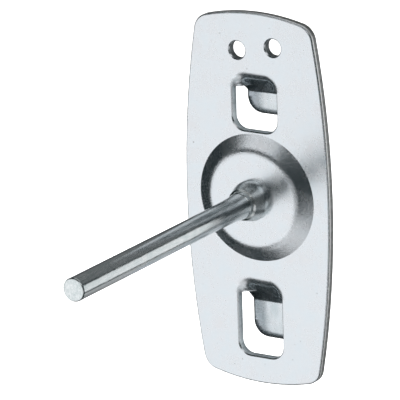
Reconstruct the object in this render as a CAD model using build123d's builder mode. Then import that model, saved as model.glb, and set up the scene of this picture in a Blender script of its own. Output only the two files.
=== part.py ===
from build123d import *
import os
from math import cos, radians, sin, tan

# Straight tool hook for a tool board with square holes: a pressed steel back plate, with two
# lanced tongues and a raised boss, and a straight round rod riveted through the boss.
# Millimetres, +Z up. The board's face is the plane y = 0, the rod points to -Y, and the origin
# is where the rod's axis meets the board's face.

# Tool board
board_pitch = 38.0  # between rows of square holes, so between the two tongues
board_gap = 3.3  # room for the board's sheet between back plate and tongue

# Sheet steel and its blanked edges, rounded round the outline and broken at holes and windows
sheet_thickness = 1.5
edge_round = 0.3
rim_break = 0.2

# Windows, and the tongues lanced out of them
window_width = 9.1
upper_window_length = 11.25
lower_window_length = 15.0
window_bottom_radius = 2.4
lance_gap = 0.1  # on each side of a tongue
bend_radius = 1.5  # inside of the bend that turns a tongue backwards
upper_bend_angle = 52.0  # degrees
lower_bend_angle = 45.0
crease_radius = 0.6  # where a tongue turns down again
hood_flare = 0.85  # how much wider than the window a bend is drawn, on each side
hood_radius = 3.5  # drawn corners of a bend
upper_tongue_straight = 3.8
lower_tongue_straight = 6.75
tongue_tip_radius = 3.0
tongue_edge_round = 0.6  # rolled-off front edge of a tongue
tongue_root = 0.8  # flat sheet round a bend that the tongue starts from

# Pressed boss that makes room for the rivet head
boss_height = 1.6
boss_slope = 30.0  # degrees, between the boss's side and the plate
boss_top_round = 4.0
upper_land = 0.4  # sheet between upper window and boss
lower_land = 3.05  # sheet between boss and lower window

# Screw holes, a pair that stands askew above the upper window
hole_diameter = 3.2
hole_pitch = 7.4
hole_tilt = 8.8  # degrees, right hole higher
hole_shift = 0.4  # middle of the pair, right of the plate's middle
hole_rise = 3.85  # middle of the pair above the upper window

# Plate outline, four shallow arcs with rounded corners
side_land = 3.05  # plate beyond the boss on each side
top_margin = 4.3  # plate above the higher hole
bottom_margin = 4.95  # plate below the lower window
side_bow = 3.0
end_bow = 1.75
corner_radius = 3.2

# Rod, cold headed from round bar
rod_diameter = 4.2
rod_reach = 60.5  # from the board's face to the tip
tip_chamfer = 0.3
swell = 0.28  # how much the rod's radius grows towards the collar
swell_length = 4.0
collar_step = 0.1  # collar beyond the swollen rod
collar_length = 1.0
shoulder_rim = 0.3  # flat rim of the shoulder round the collar
shoulder_flare = 0.87  # how much wider the shoulder is at its foot than at its rim
shoulder_length = 3.7
foot_length = 1.1  # straight part of the shoulder, on the boss
foot_round = 0.8
neck_clearance = 0.05
rivet_lip = 1.5  # rivet head beyond the neck
rivet_bevel = 0.6
rivet_setback = 0.2  # rivet head stays this far in front of the board

# Tongue section: bend, ramp and crease together set the tongue back by the board's gap
bend_outer_radius = bend_radius + sheet_thickness
bent_radii = bend_outer_radius + crease_radius
tongue_setback = board_gap + sheet_thickness
tongue_width = window_width - 2 * lance_gap
hood_width = window_width + 2 * hood_flare
hood_x = hood_width / 2 - hood_radius
tip_corner_radius = min(tongue_tip_radius, 0.45 * tongue_width)  # a tip keeps some flat end

# The boss fills the room between the windows
boss_base_radius = (board_pitch - upper_window_length - upper_land - lower_land) / 2
upper_bend_z = boss_base_radius + upper_land + upper_window_length
lower_bend_z = upper_bend_z - board_pitch
windows = [(upper_bend_z, upper_window_length), (lower_bend_z, lower_window_length)]
tongues = [
    (upper_bend_z, upper_bend_angle, upper_tongue_straight),
    (lower_bend_z, lower_bend_angle, lower_tongue_straight),
]

# Boss section, one sheet thickness everywhere
boss_run = boss_height / tan(radians(boss_slope))
boss_top_radius = boss_base_radius - boss_run
boss_inset = sheet_thickness * tan(radians(boss_slope / 2))
hollow_base_radius = boss_base_radius - boss_inset
hollow_top_radius = boss_top_radius - boss_inset

# Plate outline
hole_pair_z = upper_bend_z + hole_rise
higher_hole_z = hole_pair_z + hole_pitch / 2 * sin(radians(hole_tilt))
plate_top = higher_hole_z + hole_diameter / 2 + top_margin
plate_bottom = lower_bend_z - lower_window_length - bottom_margin
plate_middle = (plate_top + plate_bottom) / 2
plate_half_width = boss_base_radius + side_land
corner_x = plate_half_width - side_bow
top_corner_z = plate_top - end_bow
bottom_corner_z = plate_bottom + end_bow

# Rod section, from the radii outwards and from the boss forwards
rod_radius = rod_diameter / 2
swell_radius = rod_radius + swell
collar_radius = swell_radius + collar_step
rim_radius = collar_radius + shoulder_rim
foot_radius = rim_radius + shoulder_flare
rivet_radius = rod_radius + rivet_lip
plate_front = -sheet_thickness
boss_front = plate_front - boss_height
boss_back = -boss_height
rim_front = boss_front - shoulder_length
collar_front = rim_front - collar_length
swell_front = collar_front - swell_length
rod_tip = -rod_reach


def make_tongue(bend_z, bend_angle, straight):
    """A tongue as bent, from the flat sheet above its window down to its rounded tip."""
    bent_setback = bent_radii * (1 - cos(radians(bend_angle)))
    ramp_length = (tongue_setback - bent_setback) / sin(radians(bend_angle))
    with BuildPart() as tongue:
        with BuildSketch(Plane.YZ):
            with BuildLine():
                front_root = Line((plate_front, bend_z + tongue_root), (plate_front, bend_z))
                roll_over = JernArc(front_root @ 1, (0, -1), bend_outer_radius, bend_angle)
                front_ramp = Line(roll_over @ 1, roll_over @ 1 + roll_over % 1 * ramp_length)
                crease = JernArc(front_ramp @ 1, front_ramp % 1, crease_radius, -bend_angle)
                front = Line(crease @ 1, crease @ 1 - (0, straight))
                tip = Line(front @ 1, front @ 1 + (sheet_thickness, 0))
                back = Line(tip @ 1, tip @ 1 + (0, straight))
                back_crease = JernArc(back @ 1, (0, 1), crease_radius + sheet_thickness, bend_angle)
                back_ramp = Line(back_crease @ 1, back_crease @ 1 + back_crease % 1 * ramp_length)
                fold = JernArc(back_ramp @ 1, back_ramp % 1, bend_radius, -bend_angle)
                back_root = Line(fold @ 1, fold @ 1 + (0, tongue_root))
                Line(back_root @ 1, front_root @ 0)
            make_face()
        extrude(amount=tongue_width / 2, both=True)
        free_top = bend_z - hood_radius
        free_length = free_top - tongue.part.bounding_box().min.Z
        with BuildSketch(Plane.XZ) as front_view:
            with Locations((0, free_top - free_length / 2)):
                Rectangle(tongue_width, free_length)
            fillet(front_view.vertices().group_by(Axis.Y)[0], tip_corner_radius)
            with Locations((0, free_top + (hood_radius + tongue_root) / 2)):
                Rectangle(2 * hood_x, hood_radius + tongue_root)
        extrude(amount=board_gap + 2 * sheet_thickness, both=True, mode=Mode.INTERSECT)
        tip_edge = tongue.edges().filter_by(Axis.X).group_by(Axis.Z)[0].sort_by(Axis.Y)[0]
        fillet(tip_edge, tongue_edge_round)
    return tongue.part


def make_hood_corners(bend_z, bend_angle):
    """Both drawn corners of the bend above a window."""
    lean = cos(radians(bend_angle))
    right_axis = Axis((hood_x, 0, bend_z - hood_radius), (0, 1, 0))
    with BuildPart() as corners:
        with BuildSketch(Plane(right_axis.position, x_dir=(0, 0, 1), z_dir=(-1, 0, 0))):
            with BuildLine():
                roll_over = JernArc((hood_radius, plate_front), (-1, 0), bend_outer_radius, -bend_angle)
                front_length = (roll_over @ 1).X / lean
                front_ramp = Line(roll_over @ 1, roll_over @ 1 + roll_over % 1 * front_length)
                fold = JernArc((hood_radius, 0), (-1, 0), bend_radius, -bend_angle)
                back_length = (fold @ 1).X / lean
                back_ramp = Line(fold @ 1, fold @ 1 + fold % 1 * back_length)
                Line(front_ramp @ 1, back_ramp @ 1)
                Polyline(
                    roll_over @ 0,
                    (hood_radius + tongue_root, plate_front),
                    (hood_radius + tongue_root, 0),
                    fold @ 0,
                )
            make_face()
        revolve(axis=right_axis, revolution_arc=90)
        mirror(about=Plane.YZ)
    return corners.part


bent_tongues = [make_tongue(bend_z, angle, straight) for bend_z, angle, straight in tongues]
hood_corners = [make_hood_corners(bend_z, angle) for bend_z, angle, _ in tongues]

# Back plate, one stamped piece
with BuildPart() as back_plate:
    with BuildSketch(Plane.XZ) as outline:
        with BuildLine():
            ThreePointArc((-corner_x, top_corner_z), (0, plate_top), (corner_x, top_corner_z))
            ThreePointArc(
                (corner_x, top_corner_z), (plate_half_width, plate_middle), (corner_x, bottom_corner_z)
            )
            ThreePointArc((corner_x, bottom_corner_z), (0, plate_bottom), (-corner_x, bottom_corner_z))
            ThreePointArc(
                (-corner_x, bottom_corner_z), (-plate_half_width, plate_middle), (-corner_x, top_corner_z)
            )
        make_face()
        fillet(outline.vertices(), corner_radius)
    extrude(amount=sheet_thickness)

    for bend_z, length in windows:
        with BuildSketch(Plane.XZ) as window:
            with Locations((0, bend_z - (length + hood_radius) / 2)):
                Rectangle(window_width, length - hood_radius)
            fillet(window.vertices().group_by(Axis.Y)[0], window_bottom_radius)
        extrude(amount=sheet_thickness, mode=Mode.SUBTRACT)

    with BuildSketch(Plane.XZ):
        with Locations((hole_shift, hole_pair_z)):
            with PolarLocations(hole_pitch / 2, 2, start_angle=hole_tilt):
                Circle(hole_diameter / 2)
    extrude(amount=sheet_thickness, mode=Mode.SUBTRACT)

    front_face = back_plate.faces().sort_by(Axis.Y)[0]
    rims = [edge for wire in front_face.inner_wires() for edge in wire.edges()]
    fillet(front_face.outer_wire().edges(), edge_round)
    chamfer(rims, rim_break)

    with BuildSketch(Plane.XZ):
        for bend_z, _ in windows:
            with Locations((0, bend_z - hood_radius)):
                SlotOverall(hood_width, 2 * hood_radius)
            with Locations((0, bend_z - hood_radius - hood_radius / 2)):
                Rectangle(hood_width, hood_radius, mode=Mode.SUBTRACT)
    extrude(amount=sheet_thickness, mode=Mode.SUBTRACT)

    with BuildSketch(Plane.XY):
        with BuildLine():
            Polyline(
                (0, boss_front),
                (boss_top_radius, boss_front),
                (boss_base_radius, plate_front),
                (0, plate_front),
                close=True,
            )
        make_face()
    revolve(axis=Axis.Y)
    boss_edge = back_plate.edges().filter_by(GeomType.CIRCLE).sort_by(Axis.Y)[0]
    fillet(boss_edge, boss_top_round)
    with BuildSketch(Plane.XY):
        with BuildLine():
            Polyline(
                (0, boss_back),
                (hollow_top_radius, boss_back),
                (hollow_base_radius, 0),
                (0, 0),
                close=True,
            )
        make_face()
    revolve(axis=Axis.Y, mode=Mode.SUBTRACT)
    with BuildSketch(Plane.XZ.offset(boss_height)):
        Circle(rod_radius + neck_clearance)
    extrude(amount=sheet_thickness, mode=Mode.SUBTRACT)

    add(bent_tongues)
    add(hood_corners)

# Rod, one headed piece, riveted over behind the boss
with BuildPart() as rod:
    with BuildSketch(Plane.XY) as section:
        with BuildLine():
            Polyline(
                (0, -rivet_setback),
                (rivet_radius, -rivet_setback),
                (rivet_radius, boss_back),
                (rod_radius, boss_back),
                (rod_radius, boss_front),
                (foot_radius, boss_front),
                (foot_radius, boss_front - foot_length),
                (rim_radius, rim_front),
                (collar_radius, rim_front),
                (collar_radius, collar_front),
                (swell_radius, collar_front),
                (rod_radius, swell_front),
                (rod_radius, rod_tip + tip_chamfer),
                (rod_radius - tip_chamfer, rod_tip),
                (0, rod_tip),
                close=True,
            )
        make_face()
        between_rim_and_boss = (Axis.Y, rim_front, boss_front, (False, False))
        fillet(section.vertices().filter_by_position(*between_rim_and_boss), foot_round)
        chamfer(section.vertices().group_by(Axis.Y)[-1].sort_by(Axis.X)[-1], rivet_bevel)
    revolve(axis=Axis.Y)

os.makedirs("parts", exist_ok=True)
back_plate.part.label = "back_plate"
rod.part.label = "rod"
export_step(back_plate.part, "parts/back_plate.step")
export_step(rod.part, "parts/rod.step")
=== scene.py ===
from math import cos, pi, radians, sin

import bmesh
import bpy
from mathutils import Matrix, Vector


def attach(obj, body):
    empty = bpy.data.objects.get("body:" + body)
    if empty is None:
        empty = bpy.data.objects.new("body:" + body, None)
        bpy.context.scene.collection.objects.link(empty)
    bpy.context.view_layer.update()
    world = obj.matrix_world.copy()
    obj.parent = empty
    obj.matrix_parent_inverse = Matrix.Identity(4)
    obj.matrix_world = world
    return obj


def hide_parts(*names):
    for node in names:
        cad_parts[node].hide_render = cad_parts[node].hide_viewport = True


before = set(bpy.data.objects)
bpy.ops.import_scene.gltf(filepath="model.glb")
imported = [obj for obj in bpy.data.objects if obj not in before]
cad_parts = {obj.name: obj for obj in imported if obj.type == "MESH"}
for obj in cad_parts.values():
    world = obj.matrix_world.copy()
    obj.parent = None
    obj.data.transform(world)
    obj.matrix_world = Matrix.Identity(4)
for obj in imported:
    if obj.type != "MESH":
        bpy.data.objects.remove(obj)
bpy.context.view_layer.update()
mm = 0.001
print("CAD nodes:", ", ".join(sorted(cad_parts)))


# Camera, right of the rod and a little above it
shot = {
    "azimuth": radians(32.295),
    "elevation": radians(16.716),
    "roll": radians(1.864),
    "away": 763.8 * mm,  # along the line of sight, to the foot of the boss
    "lens": 389.1,
    "sensor": 36.0,
    "nearest": 10 * mm,
    "bossFoot": Vector((0, -1.5 * mm, 0)),
    "bossRight": 0.01314,  # how far the boss sits right of and above the frame's middle, per metre away
    "bossUp": 0.00056,
}


# Azimuth 0 is straight in front of the plate, and it grows to the right
def towards(azimuth, elevation):
    return Vector((sin(azimuth) * cos(elevation), -cos(azimuth) * cos(elevation), sin(elevation)))


def setCamera():
    back = towards(shot["azimuth"], shot["elevation"])
    level = Vector((cos(shot["azimuth"]), sin(shot["azimuth"]), 0))
    turn = Matrix.Rotation(-shot["roll"], 3, back)
    right = turn @ level
    up = turn @ back.cross(level)
    aim = shot["bossFoot"] - shot["away"] * (shot["bossRight"] * right + shot["bossUp"] * up)
    place = Matrix((right, up, back)).transposed().to_4x4()
    place.translation = aim + shot["away"] * back
    lens = bpy.data.cameras.new("camera")
    lens.lens = shot["lens"]
    lens.sensor_width = shot["sensor"]
    lens.clip_start = shot["nearest"]
    camera = bpy.data.objects.new("camera", lens)
    camera.matrix_world = place
    bpy.context.collection.objects.link(camera)
    bpy.context.scene.camera = camera


setCamera()
print("camera set")


# Node helpers
def freshMaterial(name):
    material = bpy.data.materials.new(name)
    material.use_nodes = True
    return material, material.node_tree.nodes["Principled BSDF"]


def addNode(tree, kind, sockets=None, **settings):
    node = tree.nodes.new(kind)
    for name, value in settings.items():
        setattr(node, name, value)
    for name, value in (sockets or {}).items():
        if isinstance(value, bpy.types.NodeSocket):
            tree.links.new(value, node.inputs[name])
        else:
            node.inputs[name].default_value = value
    return node


def objectPoint(tree, stretch=(1, 1, 1)):
    point = addNode(tree, "ShaderNodeTexCoord").outputs["Object"]
    return addNode(tree, "ShaderNodeMapping", {"Vector": point, "Scale": stretch}).outputs["Vector"]


def axesOf(tree, point):
    return addNode(tree, "ShaderNodeSeparateXYZ", {"Vector": point}).outputs


def combine(tree, first, second, operation="ADD"):
    return addNode(tree, "ShaderNodeMath", {0: first, 1: second}, operation=operation).outputs[0]


def distance(tree, across, up):
    out = addNode(tree, "ShaderNodeCombineXYZ", {"X": across, "Y": up}).outputs["Vector"]
    return addNode(tree, "ShaderNodeVectorMath", {0: out}, operation="LENGTH").outputs["Value"]


def grain(tree, point, scale, detail=3.0, rough=0.6):
    sockets = {"Vector": point, "Scale": scale, "Detail": detail, "Roughness": rough}
    return addNode(tree, "ShaderNodeTexNoise", sockets).outputs["Fac"]


# Most of a noise lies between 0.3 and 0.7
def between(tree, value, low, high, fromLow=0.3, fromHigh=0.7):
    sockets = {"Value": value, "From Min": fromLow, "From Max": fromHigh, "To Min": low, "To Max": high}
    return addNode(tree, "ShaderNodeMapRange", sockets).outputs["Result"]


# A mix node has a set of sockets for each kind of value; these are the ones for colours
def tint(tree, amount, first, second):
    mix = addNode(tree, "ShaderNodeMix", data_type="RGBA")
    factor, firstColour, secondColour, mixed = mix.inputs[0], mix.inputs[6], mix.inputs[7], mix.outputs[2]
    for socket, colour in ((firstColour, first), (secondColour, second)):
        if isinstance(colour, bpy.types.NodeSocket):
            tree.links.new(colour, socket)
        else:
            socket.default_value = (*colour, 1)
    tree.links.new(amount, factor)
    return mixed


# Bright zinc on the rolled sheet
sheetZinc = {
    "name": "sheetZinc",
    "cool": (0.755, 0.81, 0.855),
    "warm": (0.825, 0.84, 0.87),
    "clouds": 330,
    "specks": 1900,
    "speckFrom": 0.75,
    "speckTo": 0.8,
    "speckDark": (0.45, 0.46, 0.48),
    "paintedShade": (0.44, 0.54, 0.57),  # painted shade: darker, in streaks, on the tongues behind the plate
    "paintedShadeFrom": 0.6 * mm,
    "paintedShadeTo": 2.6 * mm,
    "paintedShadeStreaks": 420,
    "streakStretch": (1, 1, 0.35),
    "paintedShadeShare": (0, 0.55),
    "dull": 0.3,
    "bright": 0.23,
    "fine": 5000,
    "fineHaze": 0.01,
    "peel": 1500,
    "peelShare": 0.08,  # against the drawn grain
    "drawnGrain": 3200,
    "drawnIn": 8.2 * mm,  # the sloping side of the boss, which is grainier
    "drawnOut": 11.8 * mm,
    "drawnFade": 0.5 * mm,
    "bumpStrength": 0.5,
    "bumpDepth": 0.055 * mm,
    "tongueTips": (14.0 * mm, -27.7 * mm),
    "tipSpan": 1.45 * mm,  # half the straight part of a tongue's tip, between its two rounds
    "tipRound": 3.0 * mm,
    "rollWidth": 1.4 * mm,  # how far in from the tip its struck edge rolls over
    "rollDrop": 0.3 * mm,
}

# The same on the fronts of the tongues' bends, with a darker painted shade
shadedBendZinc = {
    **sheetZinc,
    "name": "shadedBendZinc",
    "paintedShade": (0.16, 0.185, 0.195),
    "paintedShadeFrom": -0.4 * mm,
    "paintedShadeTo": 1.4 * mm,
    "paintedShadeShare": (0.5, 0.9),
}


def bossSide(tree, axes, look):
    reach = distance(tree, axes["X"], axes["Z"])
    fade = look["drawnFade"]
    inner = between(tree, reach, 0, 1, look["drawnIn"] - fade, look["drawnIn"] + fade)
    outer = between(tree, reach, 1, 0, look["drawnOut"] - fade, look["drawnOut"] + fade)
    return combine(tree, inner, outer, "MULTIPLY")


# How far the struck edge has rolled off, round the tip of the upper and the lower tongue
def tongueRoll(tree, axes, behind, look):
    tipRound, rollWidth = look["tipRound"], look["rollWidth"]
    side = addNode(tree, "ShaderNodeMath", {0: axes["X"]}, operation="ABSOLUTE").outputs[0]
    across = combine(tree, combine(tree, side, look["tipSpan"], "SUBTRACT"), 0, "MAXIMUM")
    drops = []
    for tip in look["tongueTips"]:
        down = combine(tree, combine(tree, tip + tipRound, axes["Z"], "SUBTRACT"), 0, "MAXIMUM")
        reach = distance(tree, across, down)
        slope = between(tree, reach, 0, 1, tipRound - rollWidth, tipRound)
        near = combine(tree, reach, tipRound + rollWidth, "LESS_THAN")
        below = combine(tree, down, 0, "GREATER_THAN")
        onTip = combine(tree, near, below, "MULTIPLY")
        drops.append(combine(tree, combine(tree, slope, slope, "MULTIPLY"), onTip, "MULTIPLY"))
    return combine(tree, combine(tree, *drops, "MAXIMUM"), behind, "MULTIPLY")


def makeSheetZinc(look):
    material, metal = freshMaterial(look["name"])
    tree = material.node_tree
    point = objectPoint(tree)
    axes = axesOf(tree, point)

    clouds = grain(tree, point, look["clouds"])
    # Painted shade: a darker tint in streaks on the tongues, growing behind the plate's front
    streaks = grain(tree, objectPoint(tree, look["streakStretch"]), look["paintedShadeStreaks"], detail=2.0)
    behind = between(tree, axes["Y"], 0, 1, look["paintedShadeFrom"], look["paintedShadeTo"])
    paintedShadeMask = combine(tree, behind, between(tree, streaks, *look["paintedShadeShare"]), "MULTIPLY")
    specks = grain(tree, point, look["specks"], detail=1.0)
    specks = between(tree, specks, 0, 1, look["speckFrom"], look["speckTo"])
    zinc = tint(tree, between(tree, clouds, 0, 1), look["cool"], look["warm"])
    zinc = tint(tree, paintedShadeMask, zinc, look["paintedShade"])
    zinc = tint(tree, specks, zinc, look["speckDark"])
    tree.links.new(zinc, metal.inputs["Base Color"])

    fine = grain(tree, point, look["fine"], detail=2.0)
    fine = between(tree, fine, -look["fineHaze"], look["fineHaze"])
    haze = combine(tree, between(tree, clouds, look["bright"], look["dull"]), fine)
    tree.links.new(haze, metal.inputs["Roughness"])

    peel = grain(tree, point, look["peel"], detail=2.0)
    drawn = grain(tree, point, look["drawnGrain"], detail=2.0)
    drawn = combine(tree, drawn, bossSide(tree, axes, look), "MULTIPLY")
    height = combine(tree, combine(tree, peel, look["peelShare"], "MULTIPLY"), drawn)
    bump = {"Height": height, "Strength": look["bumpStrength"], "Distance": look["bumpDepth"]}
    bumped = addNode(tree, "ShaderNodeBump", bump).outputs["Normal"]
    roll = {"Height": tongueRoll(tree, axes, behind, look), "Distance": look["rollDrop"], "Normal": bumped}
    rolled = addNode(tree, "ShaderNodeBump", roll, invert=True).outputs["Normal"]
    tree.links.new(rolled, metal.inputs["Normal"])
    metal.inputs["Metallic"].default_value = 1
    return material


# Zinc on the windows' sheared walls: a burnished band in front and torn metal behind it
wallZinc = {
    "name": "wallZinc",
    "dark": (0.34, 0.40, 0.425),
    "light": (0.67, 0.725, 0.755),
    "streaks": 2200,
    "streakStretch": (1, 0.08, 1),
    "bandEnd": -0.7 * mm,
    "bandFade": 0.1 * mm,
    "bandShare": 0.5,
    "rough": 0.5,
    "smooth": 0.34,
    "metal": 0.75,
    "bumpStrength": 0.25,
    "bumpDepth": 0.04 * mm,
}

# The same on the blanked outline, with a painted highlight in its brighter band and painted shade in its
# darker torn metal
litAndShadedEdgeZinc = {
    **wallZinc,
    "name": "litAndShadedEdgeZinc",
    "dark": (0.12, 0.125, 0.125),
    "light": (0.97, 0.98, 0.98),
    "streaks": 1800,
    "bandEnd": -0.93 * mm,
    "bandShare": 0.75,
    "metal": 0.9,
}

# The same in the screw holes, darkened as painted shade and more even
shadedHoleZinc = {
    **litAndShadedEdgeZinc,
    "name": "shadedHoleZinc",
    "dark": (0.09, 0.103, 0.108),
    "light": (0.36, 0.39, 0.405),
    "bandEnd": -1.1 * mm,
    "bandShare": 0.6,
    "smooth": 0.4,
}


def makeWallZinc(look):
    material, metal = freshMaterial(look["name"])
    tree = material.node_tree
    depth = axesOf(tree, objectPoint(tree))["Y"]
    streaks = grain(tree, objectPoint(tree, look["streakStretch"]), look["streaks"])
    bandFront, bandBack = look["bandEnd"] - look["bandFade"], look["bandEnd"] + look["bandFade"]
    band = between(tree, depth, look["bandShare"], 0, bandFront, bandBack)
    bare = combine(tree, band, between(tree, streaks, 0, 1 - look["bandShare"]))
    tree.links.new(tint(tree, bare, look["dark"], look["light"]), metal.inputs["Base Color"])
    tree.links.new(between(tree, streaks, look["smooth"], look["rough"]), metal.inputs["Roughness"])
    bump = {"Height": streaks, "Strength": look["bumpStrength"], "Distance": look["bumpDepth"]}
    tree.links.new(addNode(tree, "ShaderNodeBump", bump).outputs["Normal"], metal.inputs["Normal"])
    metal.inputs["Metallic"].default_value = look["metal"]
    return material


# Zinc on the drawn bar
barZinc = {
    "name": "barZinc",
    "dark": (0.57, 0.64, 0.655),
    "light": (0.88, 0.90, 0.91),
    "clouds": 420,
    "cloudShare": 0.5,
    "drawn": 3000,
    "drawnStretch": (1, 0.12, 1),
    "drawnShare": 0.5,
    "drawnHaze": 0.02,
    "fine": 5200,
    "dull": 0.22,
    "bright": 0.16,
    "satin": 0.05,  # how much duller the headed foot is than the drawn bar
    "satinFrom": -8.4 * mm,
    "satinTo": -7.6 * mm,
    "bumpStrength": 0.3,
    "bumpDepth": 0.03 * mm,
}


def makeBarZinc(look):
    material, metal = freshMaterial(look["name"])
    tree = material.node_tree
    point = objectPoint(tree)
    clouds = grain(tree, point, look["clouds"])
    drawn = grain(tree, objectPoint(tree, look["drawnStretch"]), look["drawn"], detail=2.0)
    fine = grain(tree, point, look["fine"], detail=1.0)

    cloudy = between(tree, clouds, 0, look["cloudShare"])
    mottle = combine(tree, cloudy, between(tree, drawn, 0, look["drawnShare"]))
    tree.links.new(tint(tree, mottle, look["dark"], look["light"]), metal.inputs["Base Color"])

    haze = between(tree, clouds, look["bright"], look["dull"])
    haze = combine(tree, haze, between(tree, drawn, -look["drawnHaze"], look["drawnHaze"]))
    along = axesOf(tree, point)["Y"]
    satin = between(tree, along, 0, look["satin"], look["satinFrom"], look["satinTo"])
    tree.links.new(combine(tree, haze, satin), metal.inputs["Roughness"])

    height = combine(tree, drawn, fine)
    bump = {"Height": height, "Strength": look["bumpStrength"], "Distance": look["bumpDepth"]}
    tree.links.new(addNode(tree, "ShaderNodeBump", bump).outputs["Normal"], metal.inputs["Normal"])
    metal.inputs["Metallic"].default_value = 1
    return material


plateFinishes = {
    "sheet": makeSheetZinc(sheetZinc),
    "window": makeWallZinc(wallZinc),
    "outline": makeWallZinc(litAndShadedEdgeZinc),
    "hole": makeWallZinc(shadedHoleZinc),
    "bend": makeSheetZinc(shadedBendZinc),
}
barFinish = makeBarZinc(barZinc)
print("zinc finishes made:", len(plateFinishes), "on the plate, 1 on the rod")


# Pieces
evenShading = {"weight": 80}


def finishPiece(name, mesh, materials, crease):
    for material in materials:
        mesh.materials.append(material)
    mesh.shade_smooth()
    mesh.set_sharp_from_angle(angle=crease)
    piece = bpy.data.objects.new(name, mesh)
    bpy.context.collection.objects.link(piece)
    shading = piece.modifiers.new("evenShading", "WEIGHTED_NORMAL")
    shading.keep_sharp = True
    shading.weight = evenShading["weight"]
    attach(piece, "root")
    return piece


pressedPlate = {
    "weld": 0.0005 * mm,
    "crease": radians(24),
    "wallLean": 0.3,  # a face that looks less than this forwards or backwards is a sheared wall
    "windowSide": 8 * mm,
    "windowTop": 24.5 * mm,
    "windowBottom": -30.5 * mm,
    "holesTop": 30.5 * mm,
    "bendLean": 0.3,  # a face behind the plate's front that looks more than this downwards is on a bend
    "bendFront": -1.2 * mm,
    "bendBack": 3.25 * mm,
}


def placeOnPlate(face, plate):
    spot = face.calc_center_median()
    lean = face.normal
    inside = abs(spot.x) < plate["windowSide"] and plate["windowBottom"] < spot.z < plate["holesTop"]
    if abs(lean.y) < plate["wallLean"]:
        if not inside:
            return "outline"
        return "hole" if spot.z > plate["windowTop"] else "window"
    behind = plate["bendFront"] < spot.y < plate["bendBack"]
    if inside and behind and lean.y < 0 and lean.z < -plate["bendLean"]:
        return "bend"
    return "sheet"


def makePlate(plate):
    sheet = bmesh.new()
    sheet.from_mesh(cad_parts["back_plate"].data)
    bmesh.ops.remove_doubles(sheet, verts=sheet.verts, dist=plate["weld"])
    places = list(plateFinishes)
    for face in sheet.faces:
        face.normal_update()
        face.material_index = places.index(placeOnPlate(face, plate))
    mesh = bpy.data.meshes.new("pressedPlate")
    sheet.to_mesh(mesh)
    sheet.free()
    if "custom_normal" in mesh.attributes:
        mesh.attributes.remove(mesh.attributes["custom_normal"])
    piece = finishPiece("pressedPlate", mesh, plateFinishes.values(), plate["crease"])
    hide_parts("back_plate")
    return piece


# Places along the rod are measured from the board's face; a corner has the size of its round and its steps
headedRod = {
    "radius": 2.1 * mm,
    "tip": -60.5 * mm,
    "tipBevel": (0.3 * mm, 3),
    "swellRadius": 2.38 * mm,
    "swellFront": -11.8 * mm,
    "swellRound": (2.6 * mm, 8),
    "collarRadius": 2.48 * mm,
    "collarFront": -7.8 * mm,
    "collarBevel": (0.09 * mm, 1),
    "rimRadius": 2.78 * mm,
    "rim": -6.8 * mm,
    "rimBevel": (0.26 * mm, 1),
    "footRadius": 3.65 * mm,
    "footFront": -4.2 * mm,
    "footRound": (0.5 * mm, 6),
    "boss": -3.1 * mm,
    "rivetRadius": 3.6 * mm,
    "rivetFront": -1.6 * mm,
    "rivetBack": -0.2 * mm,
    "rivetRound": (0.6 * mm, 4),
    "turns": 128,
    "weld": 0.001 * mm,
    "crease": radians(30),
}


def makeRod(rod):
    bar = bmesh.new()

    def point(across, along):
        return bar.verts.new((across, along, 0))

    def roundCorner(corner, size, steps):
        bmesh.ops.bevel(
            bar, geom=[corner], offset=size, offset_type="OFFSET", segments=steps, profile=0.5,
            affect="VERTICES", material=-1,
        )

    rivetCorner = point(rod["rivetRadius"], rod["rivetBack"])
    footCorner = point(rod["footRadius"], rod["footFront"])
    rimCorner = point(rod["rimRadius"], rod["rim"])
    collarCorner = point(rod["collarRadius"], rod["collarFront"])
    swellEnd = point(rod["radius"], rod["swellFront"])
    tipCorner = point(rod["radius"], rod["tip"])
    profile = [
        point(0, rod["rivetBack"]),
        rivetCorner,
        point(rod["rivetRadius"], rod["rivetFront"]),
        point(rod["radius"], rod["rivetFront"]),
        point(rod["radius"], rod["boss"]),
        point(rod["footRadius"], rod["boss"]),
        footCorner,
        rimCorner,
        point(rod["collarRadius"], rod["rim"]),
        collarCorner,
        point(rod["swellRadius"], rod["collarFront"]),
        swellEnd,
        tipCorner,
        point(0, rod["tip"]),
    ]
    for first, second in zip(profile, profile[1:]):
        bar.edges.new((first, second))
    roundCorner(rivetCorner, *rod["rivetRound"])
    roundCorner(footCorner, *rod["footRound"])
    roundCorner(rimCorner, *rod["rimBevel"])
    roundCorner(collarCorner, *rod["collarBevel"])
    roundCorner(swellEnd, *rod["swellRound"])
    roundCorner(tipCorner, *rod["tipBevel"])
    bmesh.ops.spin(
        bar, geom=bar.verts[:] + bar.edges[:], cent=(0, 0, 0), axis=(0, 1, 0), dvec=(0, 0, 0),
        angle=2 * pi, steps=rod["turns"], use_merge=True, use_normal_flip=False, use_duplicate=False,
    )
    bmesh.ops.remove_doubles(bar, verts=bar.verts, dist=rod["weld"])
    bmesh.ops.recalc_face_normals(bar, faces=bar.faces)
    mesh = bpy.data.meshes.new("headedRod")
    bar.to_mesh(mesh)
    bar.free()
    piece = finishPiece("headedRod", mesh, [barFinish], rod["crease"])
    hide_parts("rod")
    return piece


platePiece = makePlate(pressedPlate)
rodPiece = makeRod(headedRod)
print("plate and rod made:", len(platePiece.data.polygons), len(rodPiece.data.polygons), "faces")


# White cove that the camera sees all round, and that the metal does not mirror
cove = {
    "floor": -0.45,
    "radius": 4.0,
    "height": 5.0,
    "round": 1.2,
    "roundSteps": 12,
    "turns": 64,
    "weld": 0.01 * mm,
    "paper": (0.8, 0.8, 0.8),
    "rough": 0.9,
    "glow": 0.95,
}


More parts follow.
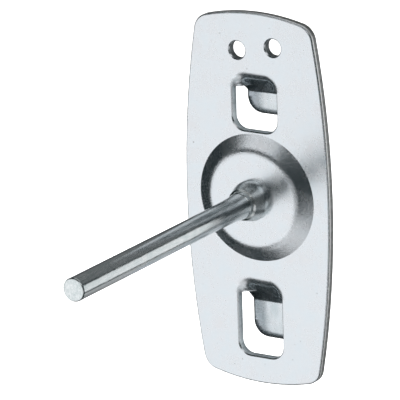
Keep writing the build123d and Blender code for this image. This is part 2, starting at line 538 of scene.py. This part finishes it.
def makeCove(room):
    shell = bmesh.new()
    path = [(0, room["floor"]), (room["radius"], room["floor"]), (room["radius"], room["height"])]
    points = [shell.verts.new((across, 0, up)) for across, up in path]
    for first, second in zip(points, points[1:]):
        shell.edges.new((first, second))
    bmesh.ops.bevel(
        shell, geom=[points[1]], offset=room["round"], offset_type="OFFSET", segments=room["roundSteps"],
        profile=0.5, affect="VERTICES", material=-1,
    )
    bmesh.ops.spin(
        shell, geom=shell.verts[:] + shell.edges[:], cent=(0, 0, 0), axis=(0, 0, 1), dvec=(0, 0, 0),
        angle=2 * pi, steps=room["turns"], use_merge=True, use_normal_flip=False, use_duplicate=False,
    )
    bmesh.ops.remove_doubles(shell, verts=shell.verts, dist=room["weld"])
    mesh = bpy.data.meshes.new("cove")
    shell.to_mesh(mesh)
    shell.free()
    mesh.shade_smooth()
    material, paper = freshMaterial("paleFloor")
    paper.inputs["Base Color"].default_value = (*room["paper"], 1)
    paper.inputs["Roughness"].default_value = room["rough"]
    paper.inputs["Emission Color"].default_value = (1, 1, 1, 1)
    paper.inputs["Emission Strength"].default_value = room["glow"]
    mesh.materials.append(material)
    floor = bpy.data.objects.new("cove", mesh)
    bpy.context.collection.objects.link(floor)
    floor.visible_glossy = False
    floor.visible_shadow = False


makeCove(cove)

# Softboxes round the hook, in degrees and metres; glow is the brightness that the metal mirrors
softboxes = {
    "frontBox": {"azimuth": -33, "elevation": -17, "away": 0.6, "size": (0.46, 0.43), "glow": 1.01},
    "highBox": {"azimuth": -27, "elevation": 34, "away": 0.6, "size": (0.45, 0.23), "glow": 0.9},
    "lowBox": {"azimuth": 6, "elevation": -47, "away": 0.5, "size": (0.37, 0.35), "glow": 0.72},
    "barBox": {"azimuth": 144.4, "elevation": -5, "away": 0.6, "size": (0.233, 0.413), "glow": 0.95},
    "rearLowBox": {"azimuth": 176, "elevation": -33, "away": 0.6, "size": (0.46, 0.18), "glow": 0.5},
    "rearHighBox": {"azimuth": -165, "elevation": 34, "away": 0.6, "size": (1.2, 0.4), "glow": 0.14},
    "rearLeftBox": {"azimuth": -149, "elevation": -14, "away": 0.6, "size": (0.28, 0.22), "glow": 1.15},
    "sideBox": {"azimuth": 95, "elevation": 8, "away": 0.6, "size": (0.6, 0.84), "glow": 0.1},
    "rightBox": {"azimuth": 48, "elevation": -21, "away": 0.6, "size": (0.25, 0.28), "glow": 0.85},
    "crestBox": {"azimuth": 43, "elevation": 42, "away": 0.6, "size": (0.44, 0.23), "glow": 0.95},
    "stripBox": {"azimuth": -92, "elevation": -59, "away": 0.5, "size": (0.05, 0.12), "glow": 0.4},
    "fillBox": {"azimuth": -1, "elevation": -12, "away": 0.6, "size": (0.22, 0.28), "glow": 0.5},
    "topBox": {"azimuth": 180, "elevation": 74, "away": 0.6, "size": (0.6, 0.4), "glow": 0.75},
    "backBox": {"azimuth": 180, "elevation": 0, "away": 0.6, "size": (0.3, 0.3), "glow": 0.65},
}
surround = {"colour": (0.015, 0.023, 0.025)}


def hangSoftbox(name, box):
    lamp = bpy.data.lights.new(name, "AREA")
    lamp.shape = "RECTANGLE"
    lamp.size, lamp.size_y = box["size"]
    lamp.energy = box["glow"] * pi * lamp.size * lamp.size_y
    out = towards(radians(box["azimuth"]), radians(box["elevation"]))
    light = bpy.data.objects.new(name, lamp)
    light.rotation_mode = "QUATERNION"
    light.rotation_quaternion = out.to_track_quat("Z", "Y")
    light.location = out * box["away"]
    light.visible_camera = False
    bpy.context.collection.objects.link(light)


for name, box in softboxes.items():
    hangSoftbox(name, box)
world = bpy.data.worlds.new("studio")
world.use_nodes = True
world.node_tree.nodes["Background"].inputs["Color"].default_value = (*surround["colour"], 1)
bpy.context.scene.world = world
bpy.context.scene.view_settings.view_transform = "Standard"
print("floor and lights set:", len(softboxes), "softboxes")
